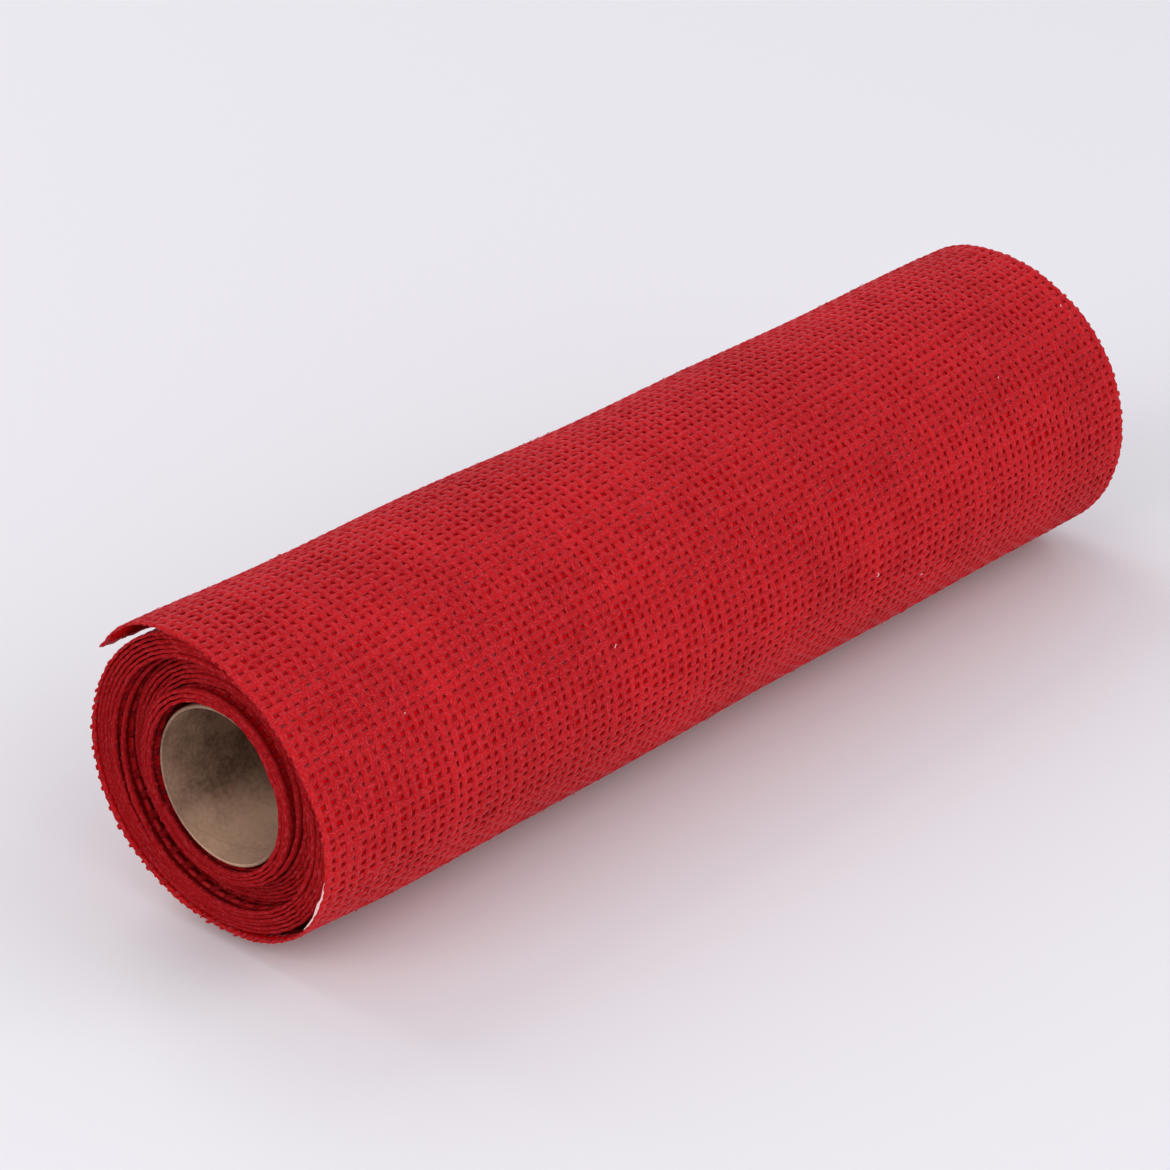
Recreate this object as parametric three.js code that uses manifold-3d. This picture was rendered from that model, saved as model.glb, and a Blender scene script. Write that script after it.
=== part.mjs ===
// A roll of red jute table runner on a cardboard core, lying on its side.
// One length of cloth is wound about the core. Its inner turns are tight, its last turn is loose,
// and the cut end stands a little off the roll at the upper back.
// Millimetres, +Z up. The roll's axis lies along X, and the front of the roll faces -Y.
// Angles are measured round the axis from the front, upwards over the top to the back.

import * as THREE from 'three';
import { mergeVertices } from 'three/addons/utils/BufferGeometryUtils.js';
import Module from 'manifold-3d';

const wasm = await Module();
wasm.setup();

// The cloth: its width on the loom, and the room that one layer takes in the roll.
const CLOTH_WIDTH = 280;
const LAYER = 1.0;

// The cardboard core, a little shorter than the cloth is wide.
const CORE_OUTER_RADIUS = 18.5;
const CORE_WALL = 1.0;
const CORE_LENGTH = 273;
const CORE_CLEARANCE = 0.3;

// The inner, middle and outer bands of turns, from the core outwards, and how far the edge of each
// lies from the plane of the roll's end, towards +X. The cloth has one width, so a band that is
// sunk at one end stands out at the other. The skin is the last tight turn.
const TURN_BANDS = [
  { outerRadius: 22.8, shift: 1.2 },
  { outerRadius: 29.3, shift: 5.0 },
  { outerRadius: 34.5, shift: 0.8 },
];
const ROLL_RADIUS = 36.0;
const SKIN_INNER_RADIUS = 34.3;

// The loose turn begins where the roll lies on the table and goes over the front to the cut end.
// It stands off the roll beneath, and its edge at the -X end has slid out of the roll's plane.
// Its rows are evenly spaced in angle. The cloth is cut along a weft yarn, which isn't quite square
// to the roll, so the cut end reaches further round at the +X end.
const FLOOR_ANGLE = -90;
const CUT_END_ANGLE = 136;
const CUT_END_SLANT = 22.5;
const SLANT_BEGINS_ANGLE = 46;
const LOOSE_TURN = [
  { angle: -90, standOff: 0.0, slide: 0.0 },
  { angle: -60, standOff: 1.3, slide: -1.4 },
  { angle: -30, standOff: 2.3, slide: -2.8 },
  { angle: 0, standOff: 2.4, slide: -3.6 },
  { angle: 30, standOff: 1.5, slide: -4.2 },
  { angle: 60, standOff: 0.6, slide: -4.4 },
  { angle: 90, standOff: 1.2, slide: -4.0 },
  { angle: 120, standOff: 2.8, slide: -3.6 },
  { angle: 150, standOff: 2.6, slide: -3.6 },
];
// At the +X end the loose turn lies closer to the roll and has hardly slid.
const STAND_OFF_AT_FAR_END = 0.8;
const SLIDE_AT_FAR_END = 0.05;

// The roll's own weight presses a narrow flat along its lowest line.
const FLAT_DEPTH = 0.5;

const STEPS_PER_TURN = 96;
const STEP = 360 / STEPS_PER_TURN;
const STEPS_ALONG = 5;
const TOUCHING = 0.05;

const jute = new THREE.MeshStandardMaterial({ color: 0xbf1e2c, roughness: 0.95, metalness: 0 });
const cardboard = new THREE.MeshStandardMaterial({ color: 0x8f755c, roughness: 0.9, metalness: 0 });

const radians = THREE.MathUtils.degToRad;

// The radius of the tight roll's skin at a winding angle, which grows from the cut end inwards.
// One layer is lost in each full turn.
const WINDING_AT_FLOOR = CUT_END_ANGLE - FLOOR_ANGLE;
const tightRadius = (winding) => ROLL_RADIUS - (LAYER * (winding - WINDING_AT_FLOOR)) / 360;

// A column of the loose turn's table as a smooth curve through its rows.
function looseColumn(column) {
  const curve = new THREE.SplineCurve(LOOSE_TURN.map((row) => new THREE.Vector2(row.angle, row[column])));
  const [first, last] = [LOOSE_TURN[0].angle, LOOSE_TURN[LOOSE_TURN.length - 1].angle];
  return (angle) => curve.getPoint(THREE.MathUtils.clamp((angle - first) / (last - first), 0, 1)).y;
}

const standOff = looseColumn('standOff');
const slide = looseColumn('slide');

// The inner face of the loose turn, and the skin of the roll beneath it.
const skinRadius = (angle) => tightRadius(CUT_END_ANGLE - angle + 360);
const looseRadius = (angle) => skinRadius(angle) + standOff(angle);
const LOOSE_STEPS = Math.round(WINDING_AT_FLOOR / STEP);

const onSection = (radius, angle) =>
  new THREE.Vector2(-radius * Math.cos(radians(angle)), radius * Math.sin(radians(angle)));

function solidOf(geometry) {
  const bare = geometry.clone();
  bare.deleteAttribute('normal');
  bare.deleteAttribute('uv');
  const merged = mergeVertices(bare, 1e-4);
  return new wasm.Manifold(new wasm.Mesh({
    numProp: 3,
    vertProperties: new Float32Array(merged.attributes.position.array),
    triVerts: new Uint32Array(merged.index.array),
  }));
}

function geometryOf(solid) {
  const mesh = solid.getMesh();
  const geometry = new THREE.BufferGeometry();
  geometry.setAttribute('position', new THREE.BufferAttribute(new Float32Array(mesh.vertProperties), 3));
  geometry.setIndex(new THREE.BufferAttribute(new Uint32Array(mesh.triVerts), 1));
  geometry.computeVertexNormals();
  return geometry;
}

// A ring about X from a closed profile of [radius, x] corners.
function ringAboutX(corners) {
  const profile = corners.map(([radius, x]) => new THREE.Vector2(radius, x));
  const ring = new THREE.LatheGeometry([...profile, profile[0]], STEPS_PER_TURN);
  return ring.rotateZ(-Math.PI / 2);
}

// The last tight turn and the loose turn: a spiral outline, carried along X and then eased into place.
function skinAndLooseTurn() {
  const outline = [];
  for (let step = 0; step <= LOOSE_STEPS; step++) {
    const winding = (WINDING_AT_FLOOR * step) / LOOSE_STEPS;
    outline.push(onSection(looseRadius(CUT_END_ANGLE - winding) + LAYER, CUT_END_ANGLE - winding));
  }
  for (let winding = WINDING_AT_FLOOR + STEP; winding < WINDING_AT_FLOOR + 360; winding += STEP) {
    outline.push(onSection(tightRadius(winding), CUT_END_ANGLE - winding));
  }
  for (let step = LOOSE_STEPS; step >= 0; step--) {
    const winding = (WINDING_AT_FLOOR * step) / LOOSE_STEPS;
    outline.push(onSection(looseRadius(CUT_END_ANGLE - winding), CUT_END_ANGLE - winding));
  }

  const shape = new THREE.Shape(outline);
  const hole = new THREE.Path();
  hole.absarc(0, 0, SKIN_INNER_RADIUS, 0, 2 * Math.PI);
  shape.holes.push(hole);
  const body = new THREE.ExtrudeGeometry(shape, {
    depth: CLOTH_WIDTH, bevelEnabled: false, steps: STEPS_ALONG, curveSegments: STEPS_PER_TURN,
  });

  const floor = FLAT_DEPTH - ROLL_RADIUS;
  const at = body.attributes.position;
  for (let i = 0; i < at.count; i++) {
    const [across, up, along] = [at.getX(i), at.getY(i), at.getZ(i)];
    let radius = Math.hypot(across, up);
    let angle = THREE.MathUtils.radToDeg(Math.atan2(up, -across));
    if (angle < FLOOR_ANGLE) angle += 360;
    const loose = angle <= CUT_END_ANGLE + STEP / 2 && radius > skinRadius(angle) + TOUCHING;
    const far = along / CLOTH_WIDTH;
    let shift = 0;
    if (loose) {
      const height = radius - looseRadius(angle);
      const share = Math.max(0, (angle - SLANT_BEGINS_ANGLE) / (CUT_END_ANGLE - SLANT_BEGINS_ANGLE));
      angle += far * CUT_END_SLANT * share;
      shift = slide(angle) * THREE.MathUtils.lerp(1, SLIDE_AT_FAR_END, far);
      const standing = THREE.MathUtils.lerp(1, STAND_OFF_AT_FAR_END, far) * standOff(angle);
      radius = skinRadius(angle) + standing + height;
    }
    const place = onSection(radius, angle);
    at.setXYZ(i, along - CLOTH_WIDTH / 2 + shift, place.x, Math.max(place.y, floor));
  }
  return body;
}

// The tight turns inside the skin, as one ring whose two ends step from band to band.
function tightTurns() {
  const nearEnd = [];
  const farEnd = [];
  let radius = CORE_OUTER_RADIUS + CORE_CLEARANCE;
  for (const { outerRadius, shift } of TURN_BANDS) {
    for (const corner of [radius, outerRadius]) {
      nearEnd.push([corner, shift - CLOTH_WIDTH / 2]);
      farEnd.unshift([corner, shift + CLOTH_WIDTH / 2]);
    }
    radius = outerRadius;
  }
  return ringAboutX([...nearEnd, ...farEnd]);
}

function coreTube() {
  const inner = CORE_OUTER_RADIUS - CORE_WALL;
  const half = CORE_LENGTH / 2;
  return ringAboutX([[inner, -half], [CORE_OUTER_RADIUS, -half], [CORE_OUTER_RADIUS, half], [inner, half]]);
}

const cloth = new THREE.Mesh(geometryOf(solidOf(skinAndLooseTurn()).add(solidOf(tightTurns()))), jute);
cloth.name = 'cloth_roll';

const core = new THREE.Mesh(coreTube(), cardboard);
core.name = 'core_tube';

// The origin is under the middle of the roll, on the table.
const roll = new THREE.Group();
roll.add(cloth, core);
const extent = new THREE.Box3().setFromObject(roll, true);
const middle = extent.getCenter(new THREE.Vector3());
roll.position.set(-middle.x, -middle.y, -extent.min.z);

export default roll;
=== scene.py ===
import bpy
import numpy as np
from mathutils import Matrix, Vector


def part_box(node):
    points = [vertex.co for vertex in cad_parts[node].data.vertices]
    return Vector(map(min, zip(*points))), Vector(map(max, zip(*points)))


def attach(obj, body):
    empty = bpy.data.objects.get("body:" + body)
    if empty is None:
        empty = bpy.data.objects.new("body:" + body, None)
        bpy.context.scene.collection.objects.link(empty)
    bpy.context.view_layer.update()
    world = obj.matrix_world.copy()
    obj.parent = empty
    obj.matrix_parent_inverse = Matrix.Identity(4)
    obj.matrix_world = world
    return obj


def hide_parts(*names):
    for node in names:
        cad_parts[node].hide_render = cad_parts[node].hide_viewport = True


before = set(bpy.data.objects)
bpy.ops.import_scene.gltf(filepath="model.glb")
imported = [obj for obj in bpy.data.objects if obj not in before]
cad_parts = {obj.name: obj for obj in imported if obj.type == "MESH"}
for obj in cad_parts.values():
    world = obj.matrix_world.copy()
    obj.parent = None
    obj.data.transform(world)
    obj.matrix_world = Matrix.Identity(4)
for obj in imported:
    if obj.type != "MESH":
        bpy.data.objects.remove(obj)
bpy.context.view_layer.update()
scene = bpy.context.scene


# The view. The roll lies with its near end at the lower left and its far end at the upper right,
# seen from above through a long lens.
CAMERA_AT = Vector((-0.6960, -0.5942, 0.4860))
LOOKED_AT = Vector((-0.0036, 0.0160, 0.0287))
LENS = 135.4

camera = bpy.data.objects.new("camera", bpy.data.cameras.new("camera"))
camera.data.lens = LENS
camera.data.clip_start = 0.05
camera.location = CAMERA_AT
camera.rotation_euler = (LOOKED_AT - CAMERA_AT).to_track_quat("-Z", "Y").to_euler()
scene.collection.objects.link(camera)
scene.camera = camera
scene.view_settings.view_transform = "Standard"


# The table top. A smooth, dull white board, so large that its edges are out of view. It is the stage
# of the picture and no part of the roll.
FLOOR_HALF = 4.0
FLOOR_COLOR = (0.798, 0.822, 0.826, 1)


def new_material(name):
    """A node material, returned with its nodes, its links and its Principled shader."""
    material = bpy.data.materials.new(name)
    material.use_nodes = True
    nodes = material.node_tree.nodes
    return material, nodes, material.node_tree.links, nodes["Principled BSDF"]


floor_mesh = bpy.data.meshes.new("table_top")
floor_corners = np.array([(-1, -1, 0), (1, -1, 0), (1, 1, 0), (-1, 1, 0)]) * FLOOR_HALF
floor_mesh.from_pydata(floor_corners.tolist(), [], [(0, 1, 2, 3)])
floor = bpy.data.objects.new("table_top", floor_mesh)
scene.collection.objects.link(floor)
floor_finish, _, _, floor_shader = new_material("white_table_top")
floor_shader.inputs["Base Color"].default_value = FLOOR_COLOR
floor_shader.inputs["Roughness"].default_value = 0.6
floor_mesh.materials.append(floor_finish)


# The cardboard core. Strips of brown paper are wound in a spiral and glued into a thin tube,
# which is cut a little shorter than the cloth is wide. Its cut rims are slightly rounded.
CORE_LOW, CORE_HIGH = (np.array(corner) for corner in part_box("core_tube"))
AXIS = (CORE_LOW + CORE_HIGH) / 2
CORE_OUTER = (CORE_HIGH[2] - CORE_LOW[2]) / 2
CORE_WALL = 0.0008
CORE_INNER_ROUNDING = 0.00012
CORE_OUTER_ROUNDING = 0.0005
CORE_STEPS = 256
PAPER_STRIP = 0.052
# The card's colour is mixed between these two by its grain and by height in the tube: painted light low in
# the tube and painted shade higher up, for the light that falls into the bore.
PAPER_COLOR = (0.600, 0.390, 0.255, 1)
PAPER_SHADE = (0.107, 0.053, 0.028, 1)
# Heights about the axis, in metres, where the painted light low in the tube gives way to the painted shade
# above.
PAINTED_LIGHT_BELOW = -0.018
PAINTED_SHADE_ABOVE = -0.010
PAPER_SEAM = (0.230, 0.155, 0.105, 1)
SEAM_SHARE = 0.010
SEAM_STRENGTH = 0.35
PAPER_GRAIN = 900.0
PAPER_GRAIN_SHARE = 0.6
PAPER_CLOUDS = 70.0
# How far the painted light lifts the card's colour low in the tube, and how far the painted shade lowers it
# above.
PAINTED_LIGHT_LIFT = 0.36
PAINTED_SHADE_FALL = -0.24


def make_piece(name, points, quads, material, attribute=None):
    """Puts whole arrays of points and four-cornered faces into a mesh at the origin, in metres.
    attribute is a vector for each point, read by the material under the name thread."""
    mesh = bpy.data.meshes.new(name)
    mesh.vertices.add(len(points))
    mesh.vertices.foreach_set("co", np.ascontiguousarray(points, np.float32).ravel())
    mesh.loops.add(quads.size)
    mesh.loops.foreach_set("vertex_index", np.ascontiguousarray(quads, np.int32).ravel())
    mesh.polygons.add(len(quads))
    mesh.polygons.foreach_set("loop_start", np.arange(0, quads.size, 4, dtype=np.int32))
    mesh.polygons.foreach_set("use_smooth", np.ones(len(quads), bool))
    mesh.update(calc_edges=True)
    if attribute is not None:
        layer = mesh.attributes.new("thread", "FLOAT_VECTOR", "POINT")
        layer.data.foreach_set("vector", np.ascontiguousarray(attribute, np.float32).ravel())
    mesh.materials.append(material)
    piece = bpy.data.objects.new(name, mesh)
    scene.collection.objects.link(piece)
    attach(piece, "root")
    return piece


def loft_quads(rings, corners, closed_rings):
    """Faces between rings of corners. Each ring joins the next, and the last joins the first where
    the loft is closed. Within a ring the last corner joins the first."""
    ring = np.arange(rings if closed_rings else rings - 1)[:, None]
    corner = np.arange(corners)[None, :]
    following, beside = (ring + 1) % rings, (corner + 1) % corners
    faces = [ring * corners + corner, following * corners + corner,
             following * corners + beside, ring * corners + beside]
    return np.stack(faces, -1).reshape(-1, 4)


def rounded_wall(inner, outer, low, high, inside, outside, points_a_corner=5):
    """The closed outline of a wall's section as (radius, x) rows. Each corner is a quarter circle,
    of the radius inside at the bore and outside at the outer face."""
    quarter = np.linspace(0, np.pi / 2, points_a_corner)
    corners = [(inner + inside, low + inside, np.pi, inside),
               (outer - outside, low + outside, 1.5 * np.pi, outside),
               (outer - outside, high - outside, 0, outside),
               (inner + inside, high - inside, 0.5 * np.pi, inside)]
    return np.concatenate([
        np.stack([radius + size * np.cos(start + quarter), x + size * np.sin(start + quarter)], -1)
        for radius, x, start, size in corners])


def value_node(nodes, kind, **inputs):
    """A shader node with its settings and its unlinked sockets filled in."""
    node = nodes.new(kind)
    for name, value in inputs.items():
        if name.startswith("set_"):
            setattr(node, name[4:], value)
        else:
            node.inputs[name.replace("_", " ")].default_value = value
    return node


def paper_material():
    """Brown card. A radial gradient about the tube's axis plus the place along it gives the spiral
    of the paper strips; the butt joint between strips is a thin dark line. Fibres are fine noise, and
    the paper is painted paler low in the tube and darker above: painted light and painted shade for
    the light that falls into the bore."""
    material, nodes, links, shader = new_material("brown_card")
    place = nodes.new("ShaderNodeTexCoord")
    centred = value_node(nodes, "ShaderNodeMapping", set_vector_type="TEXTURE")
    centred.inputs["Location"].default_value = (0, AXIS[1], AXIS[2])
    centred.inputs["Rotation"].default_value = (0, np.pi / 2, 0)
    links.new(place.outputs["Object"], centred.inputs["Vector"])
    around = value_node(nodes, "ShaderNodeTexGradient", set_gradient_type="RADIAL")
    links.new(centred.outputs["Vector"], around.inputs["Vector"])
    split = nodes.new("ShaderNodeSeparateXYZ")
    links.new(place.outputs["Object"], split.inputs["Vector"])
    spiral = value_node(nodes, "ShaderNodeMath", set_operation="MULTIPLY_ADD")
    spiral.inputs[1].default_value = 1 / PAPER_STRIP
    links.new(split.outputs["X"], spiral.inputs[0])
    links.new(around.outputs["Fac"], spiral.inputs[2])
    strip = value_node(nodes, "ShaderNodeMath", set_operation="FRACT")
    links.new(spiral.outputs[0], strip.inputs[0])
    joint = value_node(nodes, "ShaderNodeMapRange", From_Min=0.0, From_Max=SEAM_SHARE,
                       To_Min=SEAM_STRENGTH, To_Max=0.0)
    links.new(strip.outputs[0], joint.inputs["Value"])
    fibres = value_node(nodes, "ShaderNodeTexNoise", Scale=PAPER_GRAIN, Detail=4.0, Roughness=0.7)
    clouds = value_node(nodes, "ShaderNodeTexNoise", Scale=PAPER_CLOUDS, Detail=3.0, Roughness=0.6)
    for noise in (fibres, clouds):
        links.new(place.outputs["Object"], noise.inputs["Vector"])
    mottled = value_node(nodes, "ShaderNodeMath", set_operation="MULTIPLY_ADD")
    mottled.inputs[1].default_value = PAPER_GRAIN_SHARE
    links.new(fibres.outputs["Fac"], mottled.inputs[0])
    links.new(clouds.outputs["Fac"], mottled.inputs[2])
    # Painted light and shade by height: paler low in the tube, darker above.
    low = value_node(nodes, "ShaderNodeMapRange", To_Min=PAINTED_LIGHT_LIFT, To_Max=PAINTED_SHADE_FALL)
    low.inputs["From Min"].default_value = AXIS[2] + PAINTED_LIGHT_BELOW
    low.inputs["From Max"].default_value = AXIS[2] + PAINTED_SHADE_ABOVE
    links.new(split.outputs["Z"], low.inputs["Value"])
    grain_and_painted_light = nodes.new("ShaderNodeMath")
    links.new(mottled.outputs[0], grain_and_painted_light.inputs[0])
    links.new(low.outputs["Result"], grain_and_painted_light.inputs[1])
    shade = value_node(nodes, "ShaderNodeMapRange", From_Min=0.40, From_Max=1.20)
    links.new(grain_and_painted_light.outputs[0], shade.inputs["Value"])
    card = value_node(nodes, "ShaderNodeMix", set_data_type="RGBA")
    card.inputs[6].default_value = PAPER_SHADE
    card.inputs[7].default_value = PAPER_COLOR
    links.new(shade.outputs["Result"], card.inputs["Factor"])
    seamed = value_node(nodes, "ShaderNodeMix", set_data_type="RGBA")
    seamed.inputs[7].default_value = PAPER_SEAM
    links.new(joint.outputs["Result"], seamed.inputs["Factor"])
    links.new(card.outputs[2], seamed.inputs[6])
    links.new(seamed.outputs[2], shader.inputs["Base Color"])
    bump = value_node(nodes, "ShaderNodeBump", Strength=0.25, Distance=0.0002)
    links.new(mottled.outputs[0], bump.inputs["Height"])
    links.new(bump.outputs["Normal"], shader.inputs["Normal"])
    shader.inputs["Roughness"].default_value = 0.62
    return material


core_wall = rounded_wall(CORE_OUTER - CORE_WALL, CORE_OUTER, CORE_LOW[0], CORE_HIGH[0],
                         CORE_INNER_ROUNDING, CORE_OUTER_ROUNDING)
core_turn = np.linspace(0, 2 * np.pi, CORE_STEPS, endpoint=False)[:, None]
core_points = np.stack([
    np.broadcast_to(core_wall[:, 1], (CORE_STEPS, len(core_wall))),
    AXIS[1] - core_wall[:, 0] * np.cos(core_turn),
    AXIS[2] + core_wall[:, 0] * np.sin(core_turn)], -1)
core = make_piece("cardboard_core", core_points.reshape(-1, 3),
                  loft_quads(CORE_STEPS, len(core_wall), True), paper_material())
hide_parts("core_tube")


# The path of the cloth in the roll. One length of cloth is wound tight about the core, and its last
# turn lies loose, from the table over the front and the top to the cut end at the upper back.
# Lengths are in millimetres here: along the cloth from its cut end, and across it from its near edge.
CLOTH_WIDTH = 280.0
LAYER = 1.0
ROLL_RADIUS = 36.0
CLOTH_BORE = 18.8
CUT_END_ANGLE = 136.0
FLOOR_ANGLE = -90.0
LOOSE_TURNS = (CUT_END_ANGLE - FLOOR_ANGLE) / 360
ALL_TURNS = LOOSE_TURNS + (ROLL_RADIUS - CLOTH_BORE) / LAYER - 1
FLAT_DEPTH = 0.5
CLEAR_OF_TABLE = 0.02
PRESSED_LAYER = 0.45
LOOSE_ANGLES = np.arange(-90, 151, 30)
STAND_OFFS = np.array([0.0, 0.5, 2.0, 2.4, 1.5, 0.6, 1.2, 2.7, 0.0])
SLIDES = np.array([0.0, -1.4, -2.8, -3.6, -4.2, -4.4, -4.0, -3.6, -3.6])
STAND_OFF_AT_FAR_END = 0.8
SLIDE_AT_FAR_END = 0.05
BAND_RADII = np.array([18.8, 22.6, 23.0, 29.0, 29.4, 34.2, 34.8, 36.0])
BAND_SHIFTS = np.array([1.2, 1.6, 4.8, 5.4, 1.0, 0.7, 0.1, 0.0])
EDGE_UNEVENNESS = 0.15
SQUEEZE = 3.5
SQUEEZE_ANGLE = -98.0
BULGE = 0.9
BULGE_ANGLE = -200.0
SQUEEZE_REACH = 22.0
KNOTS_A_TURN = 7
SHIFT_SETS_IN = 0.25
SWELLS = ((0.10, 14, 23, 1.0), (0.14, 31, -17, 0.0))
PAST_CUT_END = 0.12
PATH_STEPS = 6000


def smooth_curve(knots, at):
    """A smooth curve through evenly spaced knots. at counts knots, and each stretch is the cubic
    whose slope at a knot is half the difference of the knots beside it."""
    padded = np.concatenate([knots[:1], knots, knots[-1:]])
    at = np.clip(at, 0, len(knots) - 1)
    step = np.minimum(at.astype(int), len(knots) - 2)
    t = at - step
    before, start, end, after = (padded[step + k] for k in range(4))
    return 0.5 * (2 * start + (end - before) * t
                  + (2 * before - 5 * start + 4 * end - after) * t**2
                  + (3 * start - before - 3 * end + after) * t**3)


random = np.random.default_rng(11)
edge_knots = random.normal(0, EDGE_UNEVENNESS, int(ALL_TURNS * KNOTS_A_TURN) + 4)


def middle_radius(turn):
    """The radius of the tight cloth's middle: one layer is lost in each turn."""
    return ROLL_RADIUS - LAYER / 2 - LAYER * (turn - LOOSE_TURNS)


def stand_off(turn):
    """How far the loose turn stands off, from its table of angles, and nothing in the tight turns."""
    knot = (CUT_END_ANGLE - 360 * turn - LOOSE_ANGLES[0]) / (LOOSE_ANGLES[1] - LOOSE_ANGLES[0])
    return np.where(turn < LOOSE_TURNS, smooth_curve(STAND_OFFS, knot), 0)


def squeeze(angle, radius, across):
    """How far the near end of the roll is pressed in from below, and out at the back. It is the square
    of the cosine from each of two directions, grows from the core outwards, and dies away along the
    roll like a bell curve."""
    pressed = np.maximum(np.cos(np.radians(angle - SQUEEZE_ANGLE)), 0) ** 2
    bulging = np.maximum(np.cos(np.radians(angle - BULGE_ANGLE)), 0) ** 2
    share = np.clip((radius - CLOTH_BORE) / (ROLL_RADIUS - CLOTH_BORE), 0, 1)
    return (BULGE * bulging - SQUEEZE * pressed) * share * np.exp(-(across / SQUEEZE_REACH) ** 2)


# The length of cloth up to each turn is the sum of its short arcs. The cloth goes on a little past
# the cut end here, because the weft doesn't run quite square to it.
turn_steps = np.linspace(-PAST_CUT_END, ALL_TURNS, PATH_STEPS)
arcs = 2 * np.pi * (middle_radius(turn_steps) + stand_off(turn_steps)) * (turn_steps[1] - turn_steps[0])
length_steps = np.cumsum(arcs)
length_steps -= np.interp(0, turn_steps, length_steps)
CLOTH_LENGTH = length_steps[-1]


def cloth_point(length, across, height):
    """A point of the roll, in metres, from its place along and across the cloth and its height over
    the cloth's middle. The radius is that of the spiral, plus how far the loose turn stands off, in
    two slow waves, plus the height. Each wave is a sine of the place across and along. The edges of the
    turns step in and out with the radius, and the loose turn has slid towards the near end. What would
    sink into the table is pressed flat."""
    turn = np.interp(length, length_steps, turn_steps)
    angle = CUT_END_ANGLE - 360 * turn
    far = across / CLOTH_WIDTH
    knot = (angle - LOOSE_ANGLES[0]) / (LOOSE_ANGLES[1] - LOOSE_ANGLES[0])
    loose = np.where(turn < LOOSE_TURNS, 1.0, 0.0)
    off = stand_off(turn) * (1 - far * (1 - STAND_OFF_AT_FAR_END))
    swell = sum(size * np.sin(across / over + length / along + start) for size, over, along, start in SWELLS)
    tight = middle_radius(turn)
    radius = tight + off * (1 + swell) + height + squeeze(angle, tight, across)
    shift = np.interp(tight, BAND_RADII, BAND_SHIFTS) + smooth_curve(edge_knots, turn * KNOTS_A_TURN)
    slide = smooth_curve(SLIDES, knot) * (1 + (SLIDE_AT_FAR_END - 1) * far)
    tight_share = np.clip((turn - LOOSE_TURNS) / SHIFT_SETS_IN, 0, 1)
    shift = loose * slide + tight_share * shift
    x = across - CLOTH_WIDTH / 2 + shift
    y = -radius * np.cos(np.radians(angle))
    lowest = FLAT_DEPTH - ROLL_RADIUS + CLEAR_OF_TABLE + PRESSED_LAYER * (LAYER / 2 - height)
    z = np.maximum(radius * np.sin(np.radians(angle)), lowest)
    return np.stack([x, y, z], -1) / 1000 + AXIS


# The woven jute. Flat, uneven yarns in a plain weave, dyed red. The warp runs round the roll and the
# weft along it. Each yarn is modelled where it can be seen: in the outermost turn and along the
# edges of the turns beneath.
WARP_PITCH = 2.86
WEFT_PITCH = 2.38
WARPS = 98
WEFT_SKEW = 0.054
YARN_THICKNESS = 0.46
CRIMP = 0.19
WARP_COVER = 0.69
WEFT_COVER = 0.73
STEPS_A_CROSSING = 3
TOP_SHARE = 0.62
UNDERSIDE = -0.30
YARN_BOW = 0.30
YARN_WANDER = 0.12
YARN_DRIFT = 0.20
YARN_SPREAD = 0.04
YARN_SLUBS = 0.17
JUTE_RED = (0.505, 0.009, 0.012)
JUTE_DEEP = (0.350, 0.004, 0.006)
# The pale red is partly the fibres' own colour and partly painted highlight.
JUTE_PALE_AND_HIGHLIGHT = (0.645, 0.052, 0.064)
JUTE_SHEEN = 0.22
SHEEN_TINT = (1.0, 0.45, 0.50, 1)
FIBRE_GRAIN = (1.1, 5.0, 1.0)
OWN_TONE = 0.30
TIP_WIDTH = 0.58
TIP_HEIGHT = 0.3
DYE_CLOUDS = 45.0


def soft_noise(rows, columns, row_reach, column_reach):
    """Random values on a grid, blurred over the two reaches and scaled to a spread of one."""
    rough = random.normal(size=(rows, columns))
    down = np.fft.fftfreq(rows)[:, None] * row_reach
    over = np.fft.fftfreq(columns)[None, :] * column_reach
    soft = np.fft.ifft2(np.fft.fft2(rough) * np.exp(-2 * np.pi**2 * (down**2 + over**2))).real
    return soft / soft.std()


def finer(values, steps):
    """Each row of values, with further values set evenly on the straight line between neighbours."""
    at = np.arange((values.shape[1] - 1) * steps + 1) / steps
    low = np.minimum(at.astype(int), values.shape[1] - 2)
    share = at - low
    return values[:, low] * (1 - share) + values[:, low + 1] * share


def yarns(name, material, length, across, height, width, thickness, runs_across, steps):
    """Yarns through rows of crossings, as closed tubes. The section has four corners: a flat top,
    and a broader underside. Each row of the arrays is one yarn. thread holds the place along the
    yarn in millimetres, the place across it from -1 to 1, and a number of its own."""
    length, across, height, width, thickness = (
        finer(values, steps) for values in (length, across, height, width, thickness))
    count, points = length.shape
    side = np.array([-0.5, -0.5 * TOP_SHARE, 0.5 * TOP_SHARE, 0.5])
    rise = np.array([UNDERSIDE, 0.5, 0.5, UNDERSIDE])
    if not runs_across:
        side = -side
    aside = width[..., None] * side
    lifted = height[..., None] + thickness[..., None] * rise
    if runs_across:
        corner = cloth_point(length[..., None] + aside, across[..., None] + 0 * aside, lifted)
    else:
        corner = cloth_point(length[..., None] + 0 * aside, across[..., None] + aside, lifted)
    walls = loft_quads(points, 4, False)
    first_cap = np.arange(4)[None, :]
    last_cap = np.arange(4)[None, ::-1] + (points - 1) * 4
    one = np.concatenate([walls, first_cap, last_cap])
    quads = (one[None] + (np.arange(count) * points * 4)[:, None, None]).reshape(-1, 4)
    run = np.broadcast_to((across if runs_across else length)[..., None], corner.shape[:3])
    thread = np.stack([run, np.broadcast_to(side * 2, corner.shape[:3]),
                       np.broadcast_to(random.uniform(0, 50, count)[:, None, None], corner.shape[:3])], -1)
    return make_piece(name, corner.reshape(-1, 3), quads, material, thread.reshape(-1, 3))


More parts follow.
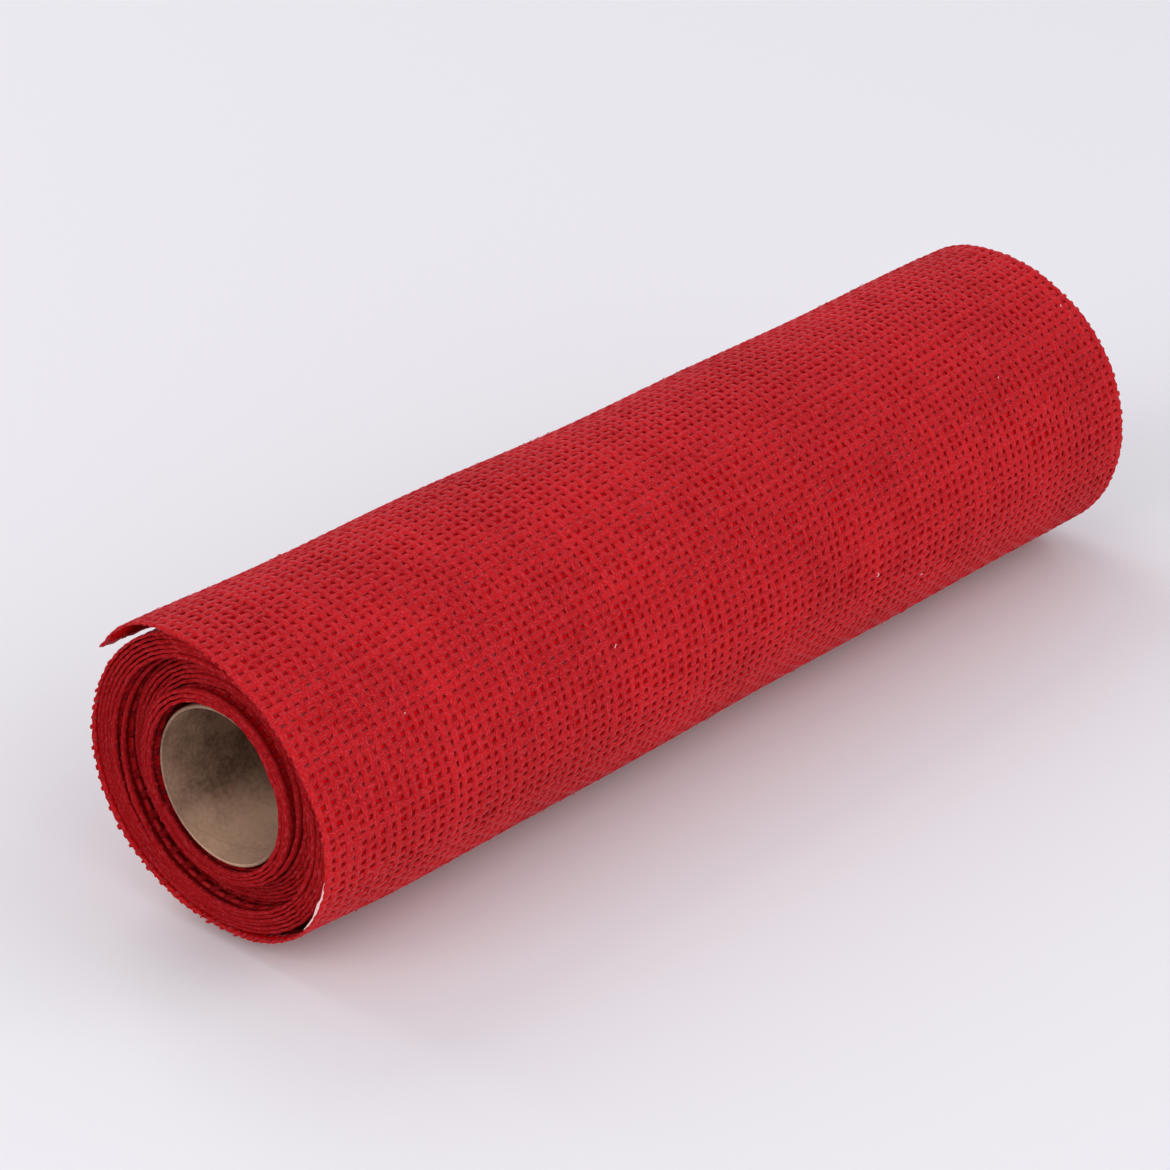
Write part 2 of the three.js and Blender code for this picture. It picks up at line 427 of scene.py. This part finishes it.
def weave(first_length, wefts, first_across, warps):
    """The crossings of a stretch of plain weave: where each lies along and across the cloth, which
    yarn is on top, and how wide the two yarns are. Whole rows and columns wander, and widths change
    slowly along each yarn, over reaches counted in yarns."""
    row = np.arange(wefts)[:, None]
    column = np.arange(warps)[None, :]

    def uneven(size, row_reach, column_reach):
        return size * soft_noise(wefts, warps, row_reach, column_reach)

    bow = uneven(YARN_BOW, 12, 20)
    across = first_across + WARP_PITCH * column + uneven(YARN_WANDER, 3, 0.01) + uneven(YARN_DRIFT, 14, 9)
    length = first_length + WEFT_PITCH * row - WEFT_SKEW * across + bow + uneven(YARN_WANDER, 0.01, 3)
    top = np.where((row + column) % 2, 1.0, -1.0)
    weft_share = 1 + random.normal(0, YARN_SPREAD, (wefts, 1)) + uneven(YARN_SLUBS, 0.01, 0.8)
    warp_share = 1 + random.normal(0, YARN_SPREAD, (1, warps)) + uneven(YARN_SLUBS, 0.8, 0.01)
    return length, across, top, WEFT_PITCH * WEFT_COVER * weft_share, WARP_PITCH * WARP_COVER * warp_share


def tailed(values, before=0, after=0):
    """Rows with one more value set before the first and one after the last."""
    return np.concatenate([values[:, :1] + before, values, values[:, -1:] + after], 1)


def pointed(values, share=TIP_WIDTH):
    """Rows with one more value at each end, which is a share of the value beside it. Widths end in
    the narrow tip of a frayed yarn, and heights end near the middle of the cloth."""
    return np.concatenate([values[:, :1] * share, values, values[:, -1:] * share], 1)


def dyed_thread_group():
    """Dyed jute yarn, as a group of nodes. Long thin noise along the thread gives the fibres, whose pale
    streaks are partly the fibres' own colour and partly painted highlight; slow noise gives the uneven
    dye, and each yarn has a tone of its own. It takes the three reds, deep, red and pale, and puts out
    the colour and the height of the fibres."""
    group = bpy.data.node_groups.new("dyed_thread", "ShaderNodeTree")
    for name in ("Deep", "Red", "Pale"):
        group.interface.new_socket(name, in_out="INPUT", socket_type="NodeSocketColor")
    group.interface.new_socket("Color", in_out="OUTPUT", socket_type="NodeSocketColor")
    group.interface.new_socket("Fibres", in_out="OUTPUT", socket_type="NodeSocketFloat")
    nodes, links = group.nodes, group.links
    given, out = nodes.new("NodeGroupInput"), nodes.new("NodeGroupOutput")
    thread = value_node(nodes, "ShaderNodeAttribute", set_attribute_name="thread")
    fibre_place = value_node(nodes, "ShaderNodeMapping")
    fibre_place.inputs["Scale"].default_value = FIBRE_GRAIN
    links.new(thread.outputs["Vector"], fibre_place.inputs["Vector"])
    fibres = value_node(nodes, "ShaderNodeTexNoise", Scale=1.0, Detail=3.0, Roughness=0.6)
    links.new(fibre_place.outputs["Vector"], fibres.inputs["Vector"])
    place = nodes.new("ShaderNodeTexCoord")
    dye = value_node(nodes, "ShaderNodeTexNoise", Scale=DYE_CLOUDS, Detail=2.0, Roughness=0.5)
    links.new(place.outputs["Object"], dye.inputs["Vector"])
    split = nodes.new("ShaderNodeSeparateXYZ")
    links.new(thread.outputs["Vector"], split.inputs["Vector"])
    own = value_node(nodes, "ShaderNodeTexWhiteNoise", set_noise_dimensions="1D")
    links.new(split.outputs["Z"], own.inputs["W"])
    tone = value_node(nodes, "ShaderNodeMath", set_operation="MULTIPLY_ADD")
    tone.inputs[1].default_value = OWN_TONE
    links.new(own.outputs["Value"], tone.inputs[0])
    links.new(dye.outputs["Fac"], tone.inputs[2])
    body = value_node(nodes, "ShaderNodeMapRange", From_Min=0.35, From_Max=1.0)
    links.new(tone.outputs[0], body.inputs["Value"])
    red = value_node(nodes, "ShaderNodeMix", set_data_type="RGBA")
    links.new(given.outputs["Deep"], red.inputs[6])
    links.new(given.outputs["Red"], red.inputs[7])
    links.new(body.outputs["Result"], red.inputs["Factor"])
    # The pale streaks along the fibres: partly their own colour, partly painted highlight.
    lit = value_node(nodes, "ShaderNodeMapRange", From_Min=0.48, From_Max=0.75)
    links.new(fibres.outputs["Fac"], lit.inputs["Value"])
    streaked = value_node(nodes, "ShaderNodeMix", set_data_type="RGBA")
    links.new(given.outputs["Pale"], streaked.inputs[7])
    links.new(lit.outputs["Result"], streaked.inputs["Factor"])
    links.new(red.outputs[2], streaked.inputs[6])
    links.new(streaked.outputs[2], out.inputs["Color"])
    links.new(fibres.outputs["Fac"], out.inputs["Fibres"])
    return group


dyed_thread = dyed_thread_group()


def jute_material(name, shade, sheen):
    """Jute yarn in the three reds, deep, red and pale, times a shade. The deep and the red are the dye's,
    and the pale is partly the fibres' own and partly painted highlight. A shade below one makes a darker
    copy as painted shade. Sheen makes the cloth paler where it turns from the eye."""
    material, nodes, links, shader = new_material(name)
    yarn = value_node(nodes, "ShaderNodeGroup", set_node_tree=dyed_thread)
    for socket, color in (("Deep", JUTE_DEEP), ("Red", JUTE_RED), ("Pale", JUTE_PALE_AND_HIGHLIGHT)):
        yarn.inputs[socket].default_value = [shade * part for part in color] + [1]
    links.new(yarn.outputs["Color"], shader.inputs["Base Color"])
    bump = value_node(nodes, "ShaderNodeBump", Strength=0.5, Distance=0.00012)
    links.new(yarn.outputs["Fibres"], bump.inputs["Height"])
    links.new(bump.outputs["Normal"], shader.inputs["Normal"])
    shader.inputs["Roughness"].default_value = 0.9
    shader.inputs["Specular IOR Level"].default_value = 0.05
    shader.inputs["Sheen Weight"].default_value = sheen
    shader.inputs["Sheen Roughness"].default_value = 0.4
    shader.inputs["Sheen Tint"].default_value = SHEEN_TINT
    return material


jute = jute_material("red_jute", 1.0, JUTE_SHEEN)


# The outermost turn, with a little of the turn that goes on beneath its cut end. Along both rims the
# weft has been cut and stands out in short teeth; at the cut end the warp does.
OUTER_WEFTS = 112
RIM_TO_WARP = 1.3
WEFT_END = 1.22
CUT_TAIL = 1.0
CUT_TOOTH = 0.9
HIDDEN_TAIL = 0.6
RIM_RAGGED = 0.12
CUT_RAGGED = 0.10

length, across, top, weft_width, warp_width = weave(CUT_TAIL, OUTER_WEFTS, RIM_TO_WARP, WARPS)
flatness = np.full_like(length, YARN_THICKNESS)
weft_across = tailed(across, -WEFT_END, WEFT_END)
weft_across[:, 0] += random.normal(0, RIM_RAGGED, OUTER_WEFTS)
weft_across[:, -1] += random.normal(0, RIM_RAGGED, OUTER_WEFTS)
for half, rows in enumerate(np.array_split(np.arange(OUTER_WEFTS), 2)):
    yarns(
        f"outer_weft_{half + 1}", jute, tailed(length)[rows], weft_across[rows],
        pointed(-CRIMP * top, TIP_HEIGHT)[rows], pointed(weft_width)[rows],
        pointed(flatness)[rows], True, STEPS_A_CROSSING)
warp_length = tailed(length.T, -CUT_TOOTH, HIDDEN_TAIL)
warp_length[:, 0] += random.normal(0, CUT_RAGGED, WARPS)
for half, rows in enumerate(np.array_split(np.arange(WARPS), 2)):
    yarns(
        f"outer_warp_{half + 1}", jute, warp_length[rows], tailed(across.T)[rows],
        pointed(CRIMP * top.T, TIP_HEIGHT)[rows], pointed(warp_width.T)[rows],
        pointed(flatness.T)[rows], False, STEPS_A_CROSSING)


# The edges of the turns beneath, at both ends of the roll. The warp along the very edge is a thick,
# almost straight cord, and the ends of the weft stand out a little past it.
EDGE_WARPS = 3
EDGE_WEFT_END = 0.98
EDGE_WEFT_TAIL = 1.2
EDGE_WEFT_CRIMP = 1.6
EDGE_RAGGED = 0.08
EDGE_STEPS_A_CROSSING = 2
EDGE_CORD_THICKNESS = np.array([1.95, 1.25, 1.0])
EDGE_CORD_CRIMP = np.array([0.45, 0.8, 1.0])
# The edges of the turns take a darker copy of the jute: painted shade, for the shade that falls between the
# turns at both ends of the roll.
EDGE_PAINTED_SHADE = 0.74
painted_shade_edge_jute = jute_material("red_jute_edges_painted_shade", EDGE_PAINTED_SHADE, 0)
edge_start = CUT_TAIL + WEFT_PITCH * OUTER_WEFTS
edge_wefts = int((CLOTH_LENGTH - edge_start) / WEFT_PITCH) - 1
for end in ("near", "far"):
    near = end == "near"
    order = slice(None) if near else slice(None, None, -1)
    first = RIM_TO_WARP if near else CLOTH_WIDTH - RIM_TO_WARP - WARP_PITCH * (EDGE_WARPS - 1)
    length, across, top, weft_width, warp_width = weave(edge_start, edge_wefts, first, EDGE_WARPS)
    flatness = np.full_like(length, YARN_THICKNESS)
    crimp = CRIMP * EDGE_CORD_CRIMP[order] * top
    before, after = (-EDGE_WEFT_END, EDGE_WEFT_TAIL) if near else (-EDGE_WEFT_TAIL, EDGE_WEFT_END)
    weft_across = tailed(across, before, after)
    weft_across[:, 0 if near else -1] += random.normal(0, EDGE_RAGGED, edge_wefts)
    yarns(
        f"{end}_edge_weft", painted_shade_edge_jute, tailed(length), weft_across,
        pointed(-EDGE_WEFT_CRIMP * crimp, TIP_HEIGHT), pointed(weft_width), pointed(flatness), True,
        EDGE_STEPS_A_CROSSING)
    yarns(
        f"{end}_edge_warp", painted_shade_edge_jute, length.T, across.T, crimp.T, warp_width.T,
        (flatness * EDGE_CORD_THICKNESS[order]).T, False, EDGE_STEPS_A_CROSSING)


# Stray fibres. Short ends of jute work loose from the yarns and lie over the weave in all directions,
# most of them red and a few of them pale where the dye didn't take.
FIBRES = 1700
PALE_FIBRES = 26
FIBRE_POINTS = 5
FIBRE_REACH = 2.6
FIBRE_WIDTH = 0.13
FIBRE_LIFT = 0.62
FIBRE_BEND = 0.6
FIBRE_DROOP = 0.45
FIBRE_SHORTEST = 0.35
FIBRE_MARGIN = 4
FIBRE_SIDE_MARGIN = 3
FIBRE_SHADE = 1.12
PALE_FIBRE_REACH = 1.6
PALE_FIBRE_WIDTH = 0.20
PALE_FIBRE_COLOR = (0.86, 0.60, 0.55, 1)


def stray_fibres(name, material, count, reach, width):
    """Bent fibres at random places of the outermost turn. Each goes off at its own angle and turns a
    little at each of its points, and its ends lie lower than its middle."""
    part = np.linspace(-1, 1, FIBRE_POINTS)[None, :]
    heading = random.uniform(-np.pi / 2, np.pi / 2, (count, 1))
    heading = heading + random.normal(0, FIBRE_BEND, (count, 1)) * part
    half = reach * random.uniform(FIBRE_SHORTEST, 1.0, (count, 1)) / 2
    along = random.uniform(FIBRE_MARGIN, WEFT_PITCH * OUTER_WEFTS - FIBRE_MARGIN, (count, 1))
    along = along + half * part * np.cos(heading)
    aside = random.uniform(FIBRE_SIDE_MARGIN, CLOTH_WIDTH - FIBRE_SIDE_MARGIN, (count, 1))
    aside = aside + half * part * np.sin(heading)
    lift = FIBRE_LIFT * (1 - FIBRE_DROOP * part**2) * random.uniform(0.7, 1.0, (count, 1))
    thin = np.full_like(along, width)
    return yarns(name, material, along - WEFT_SKEW * aside, aside, lift, thin, thin, False, 1)


pale_fibre, _, _, pale_shader = new_material("undyed_jute")
pale_shader.inputs["Base Color"].default_value = PALE_FIBRE_COLOR
pale_shader.inputs["Roughness"].default_value = 0.8
loose_jute = jute_material("loose_red_jute", FIBRE_SHADE, JUTE_SHEEN)
stray_fibres("red_fibres", loose_jute, FIBRES, FIBRE_REACH, FIBRE_WIDTH)
stray_fibres("pale_fibres", pale_fibre, PALE_FIBRES, PALE_FIBRE_REACH, PALE_FIBRE_WIDTH)


# A pale strip in the mouth of the loose turn at the near end, a guess at what shows white there. It is
# flat, broad in its middle and thin at its ends, and lies between two turns.
WISP_FROM_ANGLE = 2.0
WISP_TO_ANGLE = -37.0
WISP_POINTS = 40
WISP_WIDTH = 1.15
WISP_RADIUS = 36.75
WISP_X = -141.3
WISP_THICKNESS = 0.25
WISP_TIP = 0.02
WISP_RAGGED = 0.25
WISP_COLOR = (0.93, 0.68, 0.66, 1)

wisp_share = np.linspace(0, 1, WISP_POINTS)[:, None]
wisp_angle = np.radians(WISP_FROM_ANGLE + (WISP_TO_ANGLE - WISP_FROM_ANGLE) * wisp_share)
wisp_half = WISP_WIDTH / 2 * np.sin(np.pi * wisp_share) ** 0.7 + WISP_TIP
wisp_inner = -wisp_half * (1 + WISP_RAGGED * soft_noise(WISP_POINTS, 1, 1.2, 0.01))
wisp_middle = WISP_RADIUS + squeeze(np.degrees(wisp_angle), ROLL_RADIUS, 0)
wisp_radius = wisp_middle + np.concatenate([wisp_inner, wisp_half, wisp_half, wisp_inner], 1)
wisp_x = WISP_X + WISP_THICKNESS / 2 * np.array([[-1, -1, 1, 1]]) + 0 * wisp_radius
wisp_points = np.stack([
    wisp_x, -wisp_radius * np.cos(wisp_angle), wisp_radius * np.sin(wisp_angle)], -1) / 1000 + AXIS
wisp_caps = np.array([[3, 2, 1, 0], [0, 1, 2, 3]]) + np.array([[0], [(WISP_POINTS - 1) * 4]])
wisp_finish, _, _, wisp_shader = new_material("pale_sliver")
wisp_shader.inputs["Base Color"].default_value = WISP_COLOR
wisp_shader.inputs["Roughness"].default_value = 0.8
make_piece("pale_sliver", wisp_points.reshape(-1, 3),
                        np.concatenate([loft_quads(WISP_POINTS, 4, False)[:, ::-1], wisp_caps]),
                        wisp_finish)


# The ground of the cloth, as one long sheet wound from the cut end to the core. It closes the holes
# of the weave, so it lies just under the yarns, and it ends with them at the core. Its red is lighter
# than the yarns': painted light for the lit layer seen through the holes.
SHEET_START = 2.0
SHEET_INSET = 1.0
SHEET_DEPTH = -0.30
INNER_SHEET_DEPTH = -0.05
SHEET_STEPS = 1600
SHEET_COLUMNS = 24
SHEET_RISES_OVER = 60
GROUND_CLOUDS = 160.0
# The ground's two reds are painted light: lighter than the yarns' red, for the lit layer seen through the
# holes of the weave.
GROUND_RED_PAINTED_LIGHT = (0.590, 0.004, 0.007, 1)
GROUND_DEEP_PAINTED_LIGHT = (0.450, 0.003, 0.005, 1)


def sheet_material():
    """The ground of the cloth under the yarns: a deep, even red with slow noise in it, lighter than the
    yarns' red as painted light.
    """
    material, nodes, links, shader = new_material("red_jute_ground_painted_light")
    place = nodes.new("ShaderNodeTexCoord")
    dye = value_node(nodes, "ShaderNodeTexNoise", Scale=GROUND_CLOUDS, Detail=3.0, Roughness=0.6)
    links.new(place.outputs["Object"], dye.inputs["Vector"])
    red = value_node(nodes, "ShaderNodeMix", set_data_type="RGBA")
    red.inputs[6].default_value = GROUND_DEEP_PAINTED_LIGHT
    red.inputs[7].default_value = GROUND_RED_PAINTED_LIGHT
    links.new(dye.outputs["Fac"], red.inputs["Factor"])
    links.new(red.outputs[2], shader.inputs["Base Color"])
    shader.inputs["Roughness"].default_value = 1.0
    shader.inputs["Specular IOR Level"].default_value = 0.0
    return material


sheet_across = np.linspace(SHEET_INSET, CLOTH_WIDTH - SHEET_INSET, SHEET_COLUMNS)[None, :]
sheet_share = np.linspace(0, 1, SHEET_STEPS)[:, None]
sheet_start = SHEET_START - WEFT_SKEW * sheet_across
sheet_span = edge_start + WEFT_PITCH * (edge_wefts - 1) - SHEET_START
sheet_length = sheet_start + sheet_span * sheet_share
sheet_across = np.broadcast_to(sheet_across, sheet_length.shape)
inner_share = np.clip((sheet_length - edge_start) / SHEET_RISES_OVER, 0, 1)
sheet_height = SHEET_DEPTH + (INNER_SHEET_DEPTH - SHEET_DEPTH) * inner_share
sheet_points = cloth_point(sheet_length, sheet_across, sheet_height)
knot = np.arange(SHEET_STEPS * SHEET_COLUMNS).reshape(SHEET_STEPS, SHEET_COLUMNS)
sheet_quads = np.stack([knot[:-1, :-1], knot[:-1, 1:], knot[1:, 1:], knot[1:, :-1]], -1)
turns = make_piece("cloth_turns", sheet_points.reshape(-1, 3), sheet_quads.reshape(-1, 4),
                   sheet_material())
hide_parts("cloth_roll")


# The light. A white tent: an even room, and four soft boxes of light low round the roll, of which the
# one before its near end is the strongest.
ROOM = (1.08, 0.98, 1.11, 1)
ROOM_STRENGTH = 0.47
SOFT_BOX_SIZE = 2.0
SOFT_BOXES = {
    "right_box": ((1.1, -1.8, 1.7), 19),
    "front_box": ((-0.7, -2.4, 1.0), 22),
    "left_box": ((-2.5, 0.0, 1.4), 29.5),
    "back_box": ((0.4, 2.1, 1.8), 24),
}

world = bpy.data.worlds.new("room")
world.use_nodes = True
world.node_tree.nodes["Background"].inputs["Color"].default_value = ROOM
world.node_tree.nodes["Background"].inputs["Strength"].default_value = ROOM_STRENGTH
scene.world = world
for name, (place, power) in SOFT_BOXES.items():
    box = bpy.data.objects.new(name, bpy.data.lights.new(name, "AREA"))
    box.data.size = SOFT_BOX_SIZE
    box.data.energy = power
    box.location = place
    box.rotation_euler = (-Vector(place)).to_track_quat("-Z", "Y").to_euler()
    scene.collection.objects.link(box)
